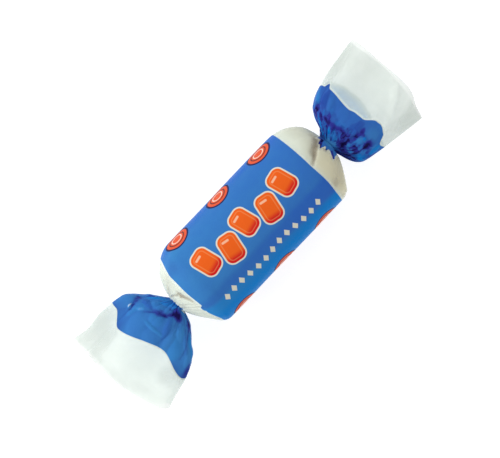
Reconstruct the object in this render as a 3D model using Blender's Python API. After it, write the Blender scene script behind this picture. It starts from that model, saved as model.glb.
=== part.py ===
"""A caramel candy in a twisted film wrapper, lying on its side.

Two pieces are modelled:
  liner  the caramel in its white waxed paper, a rounded roll whose ends are gathered into stubs
  film   the printed outer film, one open sleeve that hugs the roll, is drawn in at a neck on
         each side and opens out again into a fluted tail

The film follows one outer surface, worked out from the roll's size and the size of each end.
The liner is that surface moved inwards. X runs along the roll, Z is up, and the roll lies on a
narrow flattened strip. The origin is under the middle of the whole candy.
"""

from collections import namedtuple

import bpy
import numpy as np

MM = 0.001

# Driving dimensions, in millimetres.
ROLL_RADIUS = 9.15
FLAT_DEPTH = 0.35
FILM_WALL = 0.4
FILM_GAP = 0.3

# Pleats that gather the film at a neck, and the broad flutes that are left at a mouth.
PLEATS = 12
PLEAT_HEIGHT = 0.28
PLEAT_FADE = 3.2
FLUTES = 5
FLUTE_HEIGHT = 0.65
TWIST_TURN = 0.09

# Grid of the surface: columns around it, rows along each stretch of one end.
COLUMNS = 48
ROLL_ROWS = 4
SHOULDER_ROWS = 8
TAIL_ROWS = 9
TAIL_CROWDING = 1.7

# One side of a tail, at +Y or at -Y. At a distance d from the neck, its half width is
# neck_radius + gain * tanh((d / length) ** power) + slope * d, a quick flare and then a slow
# widening. The cut edge falls back by fall at that side.
Side = namedtuple("Side", "gain length power slope fall")

# One end of the candy. Lengths are in millimetres, counted outwards from the roll's middle:
#   shoulder     where the straight side stops
#   fullness     power of the superellipse from there to the neck: 2 is an ellipse, more is squarer
#   neck         where the film is drawn in, and neck_radius its radius there
#   reach        length of the tail from the neck to the middle of its cut edge
#   half_height  half of the mouth, upright
#   lift         how far the mouth's middle lies above the axis
#   flute_turn   turn of the flutes around the tail, in flutes
End = namedtuple(
    "End", "side shoulder fullness neck neck_radius reach half_height lift flute_turn plus minus"
)
LEFT = End(
    side=-1,
    shoulder=13.0,
    fullness=1.9,
    neck=20.1,
    neck_radius=1.9,
    reach=18.1,
    half_height=4.2,
    lift=-0.3,
    flute_turn=0.854,
    plus=Side(gain=7.1, length=3.65, power=1.17, slope=0.02, fall=-0.1),
    minus=Side(gain=6.3, length=4.0, power=0.9, slope=0.24, fall=3.3),
)
RIGHT = End(
    side=+1,
    shoulder=13.5,
    fullness=2.5,
    neck=21.6,
    neck_radius=2.2,
    reach=17.7,
    half_height=4.1,
    lift=-0.2,
    flute_turn=0.486,
    plus=Side(gain=6.4, length=3.5, power=1.1, slope=0.14, fall=0.5),
    minus=Side(gain=4.8, length=1.2, power=0.85, slope=0.1, fall=1.7),
)
# The mouth's upper and lower sides stand apart like one more side, level with both.
HEIGHT_LENGTH = 3.4
EDGE_POWER = 2.5

PRINTED_FILM = ("printed_film", (0.10, 0.27, 0.60), 0.22)
MILKY_FILM = ("milky_film", (0.78, 0.83, 0.80), 0.28)
WAXED_PAPER = ("waxed_paper", (0.72, 0.72, 0.64), 0.50)


def shoulder_rows(end):
    """Superellipse from the straight side to the neck: distance out, and radius."""
    last = np.arccos((end.neck_radius / ROLL_RADIUS) ** (end.fullness / 2))
    turn = np.linspace(0.0, last, SHOULDER_ROWS + 1)
    out = np.sin(turn) ** (2 / end.fullness)
    distance = end.shoulder + (end.neck - end.shoulder) * out / out[-1]
    radius = ROLL_RADIUS * np.cos(turn) ** (2 / end.fullness)
    return distance, radius


def tail_rows(end):
    """Share of the tail's reach for each row beyond the neck, closer together near it."""
    return (np.arange(1, TAIL_ROWS + 1) / TAIL_ROWS) ** TAIL_CROWDING


def half_width(end, side, distance):
    """Half width of a tail on one side, at distances beyond the neck."""
    flare = np.tanh((distance / side.length) ** side.power)
    return end.neck_radius + side.gain * flare + side.slope * distance


def end_rows(end):
    """Rows of one end from the shoulder out: distance, half widths at +Y and at -Y, half
    height, share of the tail's reach, and how strongly the film is pleated there."""
    distance, radius = shoulder_rows(end)
    share = tail_rows(end)
    beyond = end.reach * share
    height = end.neck_radius + (end.half_height - end.neck_radius) * np.tanh(beyond / HEIGHT_LENGTH)
    drawn_in = (distance - end.shoulder) / (end.neck - end.shoulder)
    return (
        np.concatenate([distance, end.neck + beyond]),
        np.concatenate([radius, half_width(end, end.plus, beyond)]),
        np.concatenate([radius, half_width(end, end.minus, beyond)]),
        np.concatenate([radius, height]),
        np.concatenate([np.zeros_like(distance), share]),
        np.concatenate([drawn_in**4, np.exp(-beyond / PLEAT_FADE)]),
    )


def end_surface(end, angle):
    """Smooth surface of one end, and the height of its pleats and flutes, as grids.

    Each row is half an ellipse at +Y and half of another at -Y. Towards the mouth both sides
    fall back, as a straight cut does once its middle is gathered.
    """
    distance, plus, minus, height, share, pleated = (rows[:, None] for rows in end_rows(end))
    across = np.cos(angle)[None, :]
    fall = np.where(across > 0, end.plus.fall, end.minus.fall) * np.abs(across) ** EDGE_POWER
    smooth = np.stack(
        [
            end.side * (distance - share * fall),
            np.where(across > 0, plus, minus) * across,
            height * np.sin(angle)[None, :] + end.lift * share,
        ],
        axis=-1,
    )
    pleats = np.cos(PLEATS * (angle[None, :] + TWIST_TURN * (distance - end.neck)))
    flutes = np.cos(FLUTES * angle[None, :] + 2 * np.pi * end.flute_turn)
    rise = PLEAT_HEIGHT * pleated * pleats + FLUTE_HEIGHT * share * flutes
    return smooth, rise


def candy_surface():
    """The whole outer surface from the mouth at -X to the mouth at +X, and its pleat heights."""
    angle = np.arange(COLUMNS) * 2 * np.pi / COLUMNS
    left, left_rise = (grid[::-1] for grid in end_surface(LEFT, angle))
    right, right_rise = end_surface(RIGHT, angle)
    share = np.linspace(0, 1, ROLL_ROWS + 1)[1:-1, None, None]
    roll = left[-1] * (1 - share) + right[0] * share
    flat = np.zeros(roll.shape[:2])
    return np.concatenate([left, roll, right]), np.concatenate([left_rise, flat, right_rise])


def outward(surface):
    """Unit normals of a grid of rows around the X axis, pointing away from it."""
    along = np.gradient(surface, axis=0)
    around = np.roll(surface, -1, axis=1) - np.roll(surface, 1, axis=1)
    normal = np.cross(around, along)
    return normal / np.linalg.norm(normal, axis=-1, keepdims=True)


def layer(surface, rise, depth):
    """The pleated surface moved inwards by a depth, with the strip flattened that it lies on."""
    grid = surface + outward(surface) * (rise[..., None] - depth)
    floor = -(ROLL_RADIUS - FLAT_DEPTH) + depth
    grid[..., 2] = np.maximum(grid[..., 2], floor)
    return grid


def skin_faces(first, rows, inwards=False):
    """Quads over a grid of closed rows whose points start at an index."""
    faces = []
    for row in range(rows - 1):
        for column in range(COLUMNS):
            here = first + row * COLUMNS
            beside = (column + 1) % COLUMNS
            quad = (
                here + column,
                here + beside,
                here + COLUMNS + beside,
                here + COLUMNS + column,
            )
            faces.append(quad[::-1] if inwards else quad)
    return faces


def rim_faces(outer, inner):
    """Quads that join two closed rows, given the index where each starts."""
    faces = []
    for column in range(COLUMNS):
        beside = (column + 1) % COLUMNS
        faces.append((outer + beside, outer + column, inner + column, inner + beside))
    return faces


def cap_faces(first, tip):
    """Triangles from a closed row to one point beyond it."""
    return [(first + (column + 1) % COLUMNS, first + column, tip) for column in range(COLUMNS)]


def material(name, colour, roughness):
    """Plain Principled material, not metallic."""
    made = bpy.data.materials.new(name)
    made.use_nodes = True
    shader = made.node_tree.nodes["Principled BSDF"]
    shader.inputs["Base Color"].default_value = (*colour, 1.0)
    shader.inputs["Roughness"].default_value = roughness
    shader.inputs["Metallic"].default_value = 0.0
    return made


def add_object(name, points, faces, materials):
    """One smooth-shaded object from points in millimetres."""
    mesh = bpy.data.meshes.new(name)
    mesh.from_pydata((points * MM).tolist(), [], faces)
    for made in materials:
        mesh.materials.append(made)
    mesh.shade_smooth()
    mesh.update()
    part = bpy.data.objects.new(name, mesh)
    bpy.context.collection.objects.link(part)
    return part


def add_film(surface, rise, origin):
    """The sleeve: an outer and an inner skin, joined at the cut edge of each mouth."""
    rows = len(surface)
    outer = layer(surface, rise, 0.0)
    inner = layer(surface, rise, FILM_WALL)
    points = np.concatenate([outer.reshape(-1, 3), inner.reshape(-1, 3)]) - origin
    inside = rows * COLUMNS
    last = (rows - 1) * COLUMNS
    faces = skin_faces(0, rows) + skin_faces(inside, rows, inwards=True)
    faces += rim_faces(0, inside)
    faces += [face[::-1] for face in rim_faces(last, inside + last)]
    film = add_object("film", points, faces, [material(*PRINTED_FILM), material(*MILKY_FILM)])
    colour_tails(film, origin)
    return film


def colour_tails(film, origin):
    """The print stops half way along each tail, and the film beyond it is milky."""
    for face in film.data.polygons:
        along = face.center.x / MM + origin[0]
        end = LEFT if along < 0 else RIGHT
        if abs(along) > end.neck + end.reach / 2:
            face.material_index = 1


def add_liner(surface, rise, origin):
    """The roll: the surface between the necks moved inwards, with a rounded tip on each stub."""
    first = TAIL_ROWS
    rows = len(surface) - 2 * TAIL_ROWS
    grid = layer(surface, rise, FILM_WALL + FILM_GAP)[first : first + rows]
    tips = grid[[0, -1]].mean(axis=1)
    tips[:, 0] += [-FILM_GAP, FILM_GAP]
    points = np.concatenate([grid.reshape(-1, 3), tips]) - origin
    last = (rows - 1) * COLUMNS
    tip = rows * COLUMNS
    faces = skin_faces(0, rows) + cap_faces(0, tip)
    faces += [face[::-1] for face in cap_faces(last, tip + 1)]
    return add_object("liner", points, faces, [material(*WAXED_PAPER)])


def build():
    for old in list(bpy.data.objects):
        bpy.data.objects.remove(old)
    surface, rise = candy_surface()
    skin = layer(surface, rise, 0.0).reshape(-1, 3)
    low, high = skin.min(axis=0), skin.max(axis=0)
    origin = np.array([(low[0] + high[0]) / 2, (low[1] + high[1]) / 2, low[2]])
    add_film(surface, rise, origin)
    add_liner(surface, rise, origin)


build()
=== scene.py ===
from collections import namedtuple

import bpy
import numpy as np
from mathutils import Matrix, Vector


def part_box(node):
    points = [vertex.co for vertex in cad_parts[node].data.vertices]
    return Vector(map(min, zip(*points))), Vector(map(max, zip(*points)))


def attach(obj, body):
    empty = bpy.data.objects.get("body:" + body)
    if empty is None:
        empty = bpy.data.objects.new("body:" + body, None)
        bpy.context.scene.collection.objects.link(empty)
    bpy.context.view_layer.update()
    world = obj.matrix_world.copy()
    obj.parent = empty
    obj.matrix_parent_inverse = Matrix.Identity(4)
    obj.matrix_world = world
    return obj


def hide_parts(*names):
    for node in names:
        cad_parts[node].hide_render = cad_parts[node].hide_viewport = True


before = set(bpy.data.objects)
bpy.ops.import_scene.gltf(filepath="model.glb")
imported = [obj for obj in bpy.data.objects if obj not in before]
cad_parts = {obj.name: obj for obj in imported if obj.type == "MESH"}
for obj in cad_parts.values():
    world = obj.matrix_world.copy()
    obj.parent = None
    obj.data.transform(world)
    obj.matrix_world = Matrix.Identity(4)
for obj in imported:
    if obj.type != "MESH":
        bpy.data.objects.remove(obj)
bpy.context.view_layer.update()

# Looks of a caramel candy in a twisted film wrapper. The film is one thin sheet: blue with a
# pattern over the roll, bare and milky over the roll's rounded ends, blue again at both twists and
# bare again at both tails. Under it lies the roll in its waxed paper.
#
# Shapes are worked out in millimetres around the roll's axis, with x counted from the middle of
# the label, and are moved to the frame's place at the end.

MM = 0.001

# ---------- sizes, as in the part's source

ROLL_RADIUS = 9.15
FLAT_DEPTH = 0.35
HEIGHT_LENGTH = 3.4
FLUTES = 5
FLUTE_HEIGHT = 0.65

Side = namedtuple("Side", "gain length power slope fall")
End = namedtuple(
    "End", "side shoulder fullness neck neck_radius reach half_height lift flute_turn plus minus"
)
LEFT = End(
    side=-1, shoulder=13.0, fullness=1.9, neck=20.1, neck_radius=1.9, reach=18.1,
    half_height=4.2, lift=-0.3, flute_turn=0.854,
    plus=Side(gain=7.1, length=3.65, power=1.17, slope=0.02, fall=-0.1),
    minus=Side(gain=6.3, length=4.0, power=0.9, slope=0.24, fall=3.3),
)
RIGHT = End(
    side=+1, shoulder=13.5, fullness=2.5, neck=21.6, neck_radius=2.2, reach=17.7,
    half_height=4.1, lift=-0.2, flute_turn=0.486,
    plus=Side(gain=6.4, length=3.5, power=1.1, slope=0.14, fall=0.5),
    minus=Side(gain=4.8, length=1.2, power=0.85, slope=0.1, fall=1.7),
)

# ---------- finer sizes of the looks

COLUMNS = 320
ROLL_ROWS = 24
SHOULDER_ROWS = 58
TAIL_ROWS = 140
TAIL_CROWDING = 1.45
FILM_THICKNESS = 0.05
PAPER_DEPTH = 0.14
# How squarely each mouth is cut, and how much longer its lower layer is.
EDGE_POWER = {-1: 3.3, +1: 2.7}
UNDER_LAYER_LONGER = 1.0
# The shoulders' flanks at -Y, drawn straight to the neck: their slope, where they start, how
# rounded they start, and how much fuller the film may lie there.
CONE_SLOPE = 1.5
CONE_START = {-1: 16.25, +1: 17.75}
CONE_BLUR = 0.5
CONE_FULLNESS = 0.9
# How much the film over a neck stands up where it passes from the shoulder to the tail.
NECK_FILL = {-1: 0.30, +1: 0.75}
NECK_FILL_LENGTH = 0.7
# Where an edge stands out or is drawn in: its side, the distance beyond the neck, length, height.
BULGES = {
    -1: (
        (+1, 14.8, 2.2, -0.55), (+1, -1.9, 1.3, 0.25), (+1, 3.3, 1.2, -0.75),
        (-1, 0.9, 0.8, 0.50), (-1, 4.0, 1.3, -0.50), (-1, 10.5, 4.5, 0.30),
    ),
    +1: (
        (+1, 6.5, 3.5, -0.30), (+1, -1.0, 1.0, 0.40), (+1, 1.3, 0.8, -0.90),
        (+1, 2.8, 0.9, 0.25),
    ),
}

ANGLE = (np.arange(COLUMNS) + 0.5) * 2 * np.pi / COLUMNS
# Facets: how sharp the creases between them are, how far one reaches onto the plain film, how
# far its middle stands up, and how dark the shade painted in a crease is. A fold's painted shade
# falls along it.
FACET_SHARPNESS = 5.0
FACET_REACH = 1.25
FACET_RISE = 0.14
CREASE_PAINTED_SHADE = 0.25
FOLD_FADING = 0.45
# Small facets of the crumpled film: how many lie around the axis, how their rows grow along it,
# and how far their middles stand up.
CELLS = 56
CELL_ROWS = 6.7
CELL_GROWTH = 2.0
CELL_RISE = 0.09
# Every cell has a number from 0 to 1, which sets its painted light and shade. Those above the first
# pair get painted shade, those below the second a green painted reflection, the more so at +Y, and
# painted lightness and the painted shade of folds go with the number.
SHADED_CELLS = (0.66, 0.76)
REFLECTING_CELLS = (0.16, 0.26)
CELL_PAINTED_SHADE = 0.6
CELL_PAINTED_LIGHT = (0.30, -0.8)
CELL_UNEVEN = (0.5, 1.1)
CELL_PAINTED_REFLECTION = (0.25, 0.50)
# How crumpled each end's twist is, and how far that reaches beyond the neck; how uneven its
# folds run; and how deep its pleats are.
CRUMPLE = {-1: (0.30, 2.4), +1: (1.0, 4.1)}
WOBBLE = {-1: 0.5, +1: 1.0}
PLEATED = {-1: 0.55, +1: 1.0}
# Small pleats around each neck: how many, how deep, and how far they reach towards the roll and
# the tail. They turn with the twist, by TWIST within about TWIST_LENGTH.
GATHERS = ((23, 0.42, 2.4, 5.0), (41, 0.20, 1.6, 3.0))
# How much shade is painted in the pleats' valleys.
GATHER_PAINTED_SHADE = 0.4
TWIST = 0.35
TWIST_LENGTH = 2.5
# The lap of the film's edge under the roll, the blunt ridge over it, and its slow dents.
LAP_ANGLE = -np.pi / 2
LAP_HEIGHT = 0.10
LAP_LENGTH = 0.5
RIDGE_ANGLE = np.radians(110.5)
RIDGE_HEIGHT = 0.55
RIDGE_WIDTH = 0.55
RIDGE_ROUNDING = 0.06
DENT_DEPTH = 0.05


def placed():
    """Where the roll's axis and the label's middle lie in the frame, in millimetres."""
    film_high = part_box("film")[1]
    liner_low, liner_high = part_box("liner")
    return np.array(
        [
            film_high.x / MM - RIGHT.neck - RIGHT.reach,
            (liner_low.y + liner_high.y) / 2 / MM,
            film_high.z / MM - ROLL_RADIUS,
        ]
    )


CENTRE = placed()

# ---------- small number tools


def smooth(low, high, value):
    """0 below low, 1 above high, and a smooth S between them."""
    t = np.clip((value - low) / (high - low), 0, 1)
    return t * t * (3 - 2 * t)


def hump(value, width):
    """A bell of height 1 at zero."""
    return np.exp(-((value / width) ** 2))


def wrapped(angle):
    """An angle brought to the range from minus to plus half a turn."""
    return (angle + np.pi) % (2 * np.pi) - np.pi


# ---------- the film's main surface


def half_width(end, side, distance):
    """Half width of a tail on one side: the neck, a quick flare, and a slow even widening."""
    flare = np.tanh((distance / side.length) ** side.power)
    return end.neck_radius + side.gain * flare + side.slope * distance


def end_rows(end):
    """Rows of one end from the shoulder to the mouth: distance from the middle, half widths at
    +Y and -Y, half height, and share of the tail's reach. The shoulder is a superellipse."""
    last = np.arccos((end.neck_radius / ROLL_RADIUS) ** (end.fullness / 2))
    turn = np.linspace(0.0, last, SHOULDER_ROWS + 1)
    out = np.sin(turn) ** (2 / end.fullness)
    distance = end.shoulder + (end.neck - end.shoulder) * out / out[-1]
    radius = ROLL_RADIUS * np.cos(turn) ** (2 / end.fullness)
    share = (np.arange(1, TAIL_ROWS + 1) / TAIL_ROWS) ** TAIL_CROWDING
    beyond = end.reach * share
    height = end.neck_radius + (end.half_height - end.neck_radius) * np.tanh(beyond / HEIGHT_LENGTH)
    columns = (
        (distance, end.neck + beyond),
        (radius, half_width(end, end.plus, beyond)),
        (radius, half_width(end, end.minus, beyond)),
        (radius, height),
        (np.zeros_like(distance), share),
    )
    return [np.concatenate(column)[:, None] for column in columns]


def coned(end, distance, width):
    """Half width at -Y with the shoulder drawn straight down to the neck: the lower of the round
    shoulder, made a little fuller, and a straight line, with a rounded corner between them."""
    start = CONE_START[end.side]
    fuller = np.minimum(width + CONE_FULLNESS * hump(distance - start, 1.6), ROLL_RADIUS)
    line = ROLL_RADIUS - CONE_SLOPE * (distance - start)
    rounding = CONE_BLUR * hump(fuller - line, 1.2)
    on_shoulder = smooth(0, 0.6, distance - end.shoulder) * (distance <= end.neck)
    pulled = np.maximum(np.minimum(fuller, line) - rounding, end.neck_radius)
    return width + (np.minimum(pulled, width + CONE_FULLNESS) - width) * on_shoulder


def main_surface(end):
    """Smooth surface of one end as rows of points around the axis, from the shoulder outwards.

    A row is half an ellipse at +Y and half of another at -Y. Its sides fall back towards the
    mouth, as a straight cut does once gathered in the middle, and the lower layer reaches a little
    further. Flutes are a wave around the tail that grows towards the mouth. Also gives each
    point's distance beyond the neck.
    """
    distance, plus, minus, height, share = end_rows(end)
    across = np.cos(ANGLE)[None, :]
    upward = np.sin(ANGLE)[None, :]
    fall = np.where(across > 0, end.plus.fall, end.minus.fall)
    fall = fall * np.abs(across) ** EDGE_POWER[end.side]
    fall = fall - UNDER_LAYER_LONGER * np.maximum(-upward, 0) ** 2 * share**2
    flutes = FLUTE_HEIGHT * share * np.cos(FLUTES * ANGLE[None, :] + 2 * np.pi * end.flute_turn)
    flank = smooth(0.1, 0.9, -across)
    minus = minus + (coned(end, distance, minus) - minus) * flank
    width = np.where(across > 0, plus, minus)
    for edge, place, length, out in BULGES[end.side]:
        bulge = out * hump(distance - end.neck - place, length)
        width = width + bulge * smooth(0.3, 0.9, edge * across)
    fill = NECK_FILL[end.side] * hump(distance - end.neck, NECK_FILL_LENGTH)
    fill = fill * np.maximum(upward, 0) ** 2
    points = np.stack(
        [
            end.side * (distance - share * fall) + 0 * across,
            (width + flutes) * across,
            (height + flutes) * upward + end.lift * share + fill,
        ],
        axis=-1,
    )
    return points, distance - end.neck + 0 * across


def outward(points):
    """Unit normals of rows of points around the X axis, pointing away from it. The rows run
    towards +X."""
    along = np.gradient(points, axis=0)
    around = np.roll(points, -1, axis=1) - np.roll(points, 1, axis=1)
    normal = np.cross(around, along)
    return normal / np.maximum(np.linalg.norm(normal, axis=-1, keepdims=True), 1e-9)


# ---------- folds and facets

# A fold runs between two places on an end. A place is a distance beyond the neck, minus towards
# the roll, and an angle around the axis from +Y over the top. It stands proud by its rise, is
# width wide on each side, may lean, so that one flank is steep, and is painted darker by dark,
# as shade.
#
# The rows below give the side instead of the angle: the share of the half width at which the
# place lies on the upper face, from -1 at -Y to 1 at +Y.
Fold = namedtuple("Fold", "start start_angle end end_angle width rise dark lean", defaults=[0])

# A facet is a nearly flat patch between creases: its middle, half its length and width, how much
# painted light and green painted reflection its blue gets, how dark its painted shadow, and how
# its length slants from the axis.
Facet = namedtuple("Facet", "beyond angle length width light cyan dark slant", defaults=[0] * 3)


def over(side):
    """Angle of a place on the upper face whose y is that share of the half width."""
    return float(np.arccos(side))


def folds(*rows):
    """Folds from rows of start, side, end, side, width, rise, dark and lean."""
    return tuple(
        Fold(start, over(start_side), end, over(end_side), *rest)
        for start, start_side, end, end_side, *rest in rows
    )


def facets(*rows):
    """Facets from rows of beyond, side, length, width, light, cyan, dark and slant."""
    return tuple(Facet(beyond, over(side), *rest) for beyond, side, *rest in rows)


def shadows(*rows):
    """Facets that only darken, from rows of beyond, side, length, width, dark and slant."""
    return facets(*((*row[:4], 0, 0, *row[4:]) for row in rows))


RIGHT_FOLDS = folds(
    # the strip folded over along the upper edge
    (2, 0.96, 3.4, 0.79, 0.5, -0.2, 1.05, -0.3), (3.4, 0.79, 4.4, 0.81, 0.42, -0.2, 0.85, -0.4),
    (4.4, 0.81, 8.4, 0.79, 0.32, -0.2, 0.55, -0.4), (8.4, 0.8, 17, 0.72, 0.9, -0.12, 0, -0.3),
    # creases that leave the neck on the upper half
    (0.4, 0.45, 3.3, 0.5, 0.3, -0.2, 0.45, 0.3), (3.7, 0.36, 6.5, 0.5, 0.55, -0.08, 0.35, 0.3),
    (1.8, 0.2, 3.6, 0.14, 0.3, -0.15, 0.35, -0.3), (1.45, -0.14, 2.6, 0.15, 0.32, -0.18, 1.05),
    # the deep fold across the middle and its branches
    (0.5, -0.46, 1.3, -0.32, 0.45, -0.4, 1.1, 0.2),
    (1.3, -0.32, 4.2, -0.31, 0.5, -0.3, 0.95, 0.5), (4.2, -0.31, 6.1, -0.36, 0.28, -0.22, 0.8),
    (4.2, -0.2, 8, -0.17, 0.22, -0.1, 0.25, 0.4),
    # the lower folds
    (0.2, -0.97, 1.6, -0.86, 0.6, -0.35, 0.95, -0.4),
    (0.4, -0.72, 1.4, -0.74, 0.32, -0.3, 0.95, 0.3),
    (1.4, -0.74, 4.9, -0.74, 0.32, -0.3, 1.05, 0.3),
    (1.2, -0.5, 3.4, -0.62, 0.3, -0.25, 0.85, 0.3), (3.1, -0.44, 3.9, -0.6, 0.22, -0.15, 0.45),
    # the long ridge of the bare film and the flank below it
    (10, -0.68, 16.6, -0.2, 1.1, 0.4, 0, -0.3), (11, -0.93, 17.4, -0.8, 1.2, -0.12, 0.3),
)
LEFT_FOLDS = folds(
    # the fold that runs the length of the tail
    (3.7, 0.93, 5.1, 0.745, 0.42, -0.15, 0.85, 0.3),
    (4.5, 0.8, 5.5, 0.735, 0.28, -0.12, 0.8, 0.3),
    (5.1, 0.735, 6.4, 0.69, 0.17, -0.26, 0.95, 0.5),
    (6.4, 0.69, 9.6, 0.67, 0.2, -0.14, 0.4, 0.5),
    (11.3, 0.67, 18.1, 0.73, 0.5, -0.14, 0.35, 0.6),
    # the bent crease from the neck to the middle
    (1.4, -0.26, 2.75, 0.01, 0.46, -0.36, 1.1, -0.3),
    (2.75, 0.01, 3.45, 0.26, 0.52, -0.25, 0.95, -0.3),
    (3.45, 0.26, 4.9, 0.42, 0.32, -0.16, 0.7, -0.3),
    # folds along the lower edge
    (0.5, -0.9, 2.8, -0.985, 0.3, -0.15, 0.95, 0.2),
    (1.8, -0.42, 7.4, -0.26, 0.5, -0.14, 0.3, 0.3),
    (1.2, -0.52, 4.4, -0.46, 0.25, -0.12, 0.25, 0.3),
    (2.2, -0.88, 7.5, -0.76, 0.32, -0.12, 0.5, 0.4),
    # pleats beside the neck
    (0.2, -0.3, 1.1, 0, 0.2, -0.22, 0.6), (1.6, 0.9, 3.4, 0.93, 0.22, -0.14, 0.6),
)
RIGHT_SHOULDER_FOLDS = folds(
    (-5.3, -0.07, -3.3, 0.09, 0.5, -0.25, 1, -0.5),
    (-3.6, 0.07, -1.5, 0.26, 0.9, -0.38, 1.2, -0.5),
    (-4.4, -0.66, -1.4, -0.58, 0.9, -0.2, 0.3, 0.4), (-4, 0.52, -1, 0.45, 0.8, 0.12, 0.05, 0.3),
    (-3, -0.32, -0.8, -0.28, 0.5, 0.12, 0.1, 0.3),
    # the fold in the print's points, painted dark as shade
    (-2, 0.07, -1.1, 0.18, 0.24, -0.1, 2.4), (-1.1, 0.18, -0.4, 0.34, 0.24, -0.1, 2.2),
    (-1.8, -0.35, -1.1, -0.2, 0.3, -0.1, 1.6),
)
LEFT_SHOULDER_FOLDS = folds(
    (-1.2, 0.27, -0.4, 0.5, 0.14, -0.2, 0.8, 0.6),
    (-2.1, 0.13, -1.2, 0.27, 0.17, -0.2, 0.75, 0.6),
    (-2.9, -0.22, -2.1, 0.08, 0.34, -0.14, 1.05, -0.4),
    (-3.8, -0.66, -0.4, -0.5, 0.16, -0.18, 0.3, 0.3),
    (-3.4, -0.5, -0.4, -0.38, 0.14, -0.16, 0.4, 0.3),
    (-3, -0.36, -0.5, -0.16, 0.14, -0.14, 0.45, 0.3),
    (-7.5, 0.82, -3.2, 0.55, 1.2, 0.12, 0, 0.4),
)
RIGHT_FACETS = facets(
    # the smooth blue above and around the crumple
    (4.7, 0.91, 3, 0.6, 0.75, 0.25, 0, -0.1), (5.4, 0.7, 2.3, 0.7, -0.6, 0, 0.15, -0.12),
    (5.9, 0.58, 1.9, 0.6, 0.2, 0, 0, -0.1), (6, 0.22, 2, 1.5, 0.05),
    (5.9, -0.2, 1.7, 0.85, -0.6, 0, 0.12, 0.05), (7.2, -0.6, 1.6, 1.8, 0.45, 0, 0, 0.3),
    (6.2, -0.86, 1.3, 0.6, 0.25, 0.1, 0, 0.2), (3, -0.92, 2, 0.6, -0.3, 1, 0.12, 0.1),
    (6, -0.94, 1.8, 0.6, 0.3, 0.7, -0.2),
    # the print at the neck, gathered flat and painted lighter
    (0.05, -0.08, 0.85, 1.6, 1.15, 0, -1.1), (-1, -0.12, 0.75, 2.2, 0.35, 0, -0.7),
    # the crumple beside the neck, from +Y to -Y
    (2.9, 0.65, 1.5, 2.4, -0.1, 0, 0.32), (3.9, 0.36, 0.9, 1, -0.1, 0, 0.22),
    (2.5, 0.92, 0.5, 0.5, -0.4, 0, 0.9), (2.9, 0.86, 0.7, 0.4, -0.3, 0, 0.85, -0.3),
    (2.2, 0.84, 0.35, 0.22, 0.9, 0.5, -0.2), (1.6, 0.86, 0.5, 0.28, 0.4, 0.9, -0.2, -0.5),
    (0.95, 0.8, 0.4, 0.35, 1, 0.8, -0.2, -0.5), (2.6, 0.52, 0.4, 0.4, -0.3, 0, 0.85),
    (2.85, 0.3, 0.55, 1.45, -0.3, 0, 1.05), (3.8, 0.62, 0.6, 0.5, 0.1, 0.1, 0, -0.3),
    (0.8, 0.5, 0.22, 0.26, 0, 0.3, 1), (1.6, 0.36, 0.35, 0.35, 0.6, 0.8),
    (2.1, 0.24, 0.35, 0.35, -0.2, 0.2, 0.5), (1.1, 0.22, 0.45, 0.5, 0.1, 0, 0.15),
    (1.3, 0.06, 0.34, 0.5, 0.3, 0.2, -0.6), (1.9, -0.19, 1.2, 0.35, -0.3, 0, 0.9),
    (2.3, 0.14, 0.22, 0.45, 0.2, 0.2), (2.7, -0.02, 0.4, 0.5, -0.3, 0, 0.75),
    (3.15, 0.04, 0.34, 1.4, -0.3, 0, 0.8), (3.7, 0.05, 0.3, 0.35, -0.3, 0.3, 0.7),
    (4, -0.1, 0.35, 0.22, -0.3, 0, 0.55), (3.9, -0.19, 0.65, 0.18, 0.7, 0.5),
    # the hollow, painted dark as shade, and the facets below it, painted lighter
    (1, -0.34, 0.8, 0.65, -0.3, 0, 1.8), (2.8, -0.31, 1.6, 0.5, -0.3, 0, 1),
    (3.9, -0.38, 1.4, 0.3, -0.3, 0, 0.7), (6.1, -0.36, 0.5, 0.4, -0.3, 0, 0.8),
    (1.9, -0.41, 0.9, 0.2, 0.6, 0.1, -0.5, 0.05), (4.2, -0.49, 0.75, 0.5, 0.65, 0.1, -0.4, 0.2),
    (5.1, -0.56, 0.32, 0.65, -0.1, 0.8, -0.1), (5.5, -0.43, 0.35, 0.6, -0.2, 0, 0.6, 0.5),
    (2.1, -0.54, 0.5, 0.4, 0.6, 0.3, -0.5, 0.2), (3.2, -0.49, 0.6, 0.3, -0.2, 0, 0.6, 0.3),
    (3.5, -0.58, 0.55, 0.3, -0.2, 0, 0.38, 0.4), (3.5, -0.66, 1.8, 2.2, 0, 0, 0.24),
    (3.9, -0.91, 0.7, 0.6, -0.2, 0, 0.35), (0.5, -0.84, 0.6, 1.5, -0.2, 0, 0.95, 0.1),
    (2.3, -0.84, 0.9, 0.35, 0.1, 0.8, -0.1, 0.2), (2.9, -0.73, 1.2, 0.3, -0.2, 0, 0.6, 0.1),
    (4.9, -0.76, 0.95, 0.65, -0.4, 0, 1.05),
) + shadows(
    # on the bare film
    (13, 0.1, 8, 14, 0.3), (9.6, -0.25, 1.2, 2, -0.3),
    (12.3, 0.88, 5, 1.8, 0.5), (15, 0.5, 3, 2.6, 0.2),
    (12.8, -0.45, 3.8, 0.9, -0.55, -0.45), (14.2, -0.55, 2.8, 1, -0.5, -0.4),
    (15.2, -0.27, 1.4, 1, -0.55, -0.3), (15.8, -0.94, 4, 1.6, 0.8),
    (17, -0.72, 1.2, 1.4, 0.2, -0.3),
    # on the shoulder
    (-1, 0.52, 0.8, 1.4, 0.5), (-4.8, -0.66, 0.9, 1, 0.25),
    (-3.2, -0.2, 3, 9, 0.06), (-3.2, -0.7, 2.6, 3.2, 0.3),
) + facets(
    # the smallest points of painted shade on the print there
    (-1.5, -0.05, 0.35, 0.28, -0.3, 0.3, 1.8), (-0.5, 0.5, 0.4, 0.25, -0.3, 0.6, 0.6),
)
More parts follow.
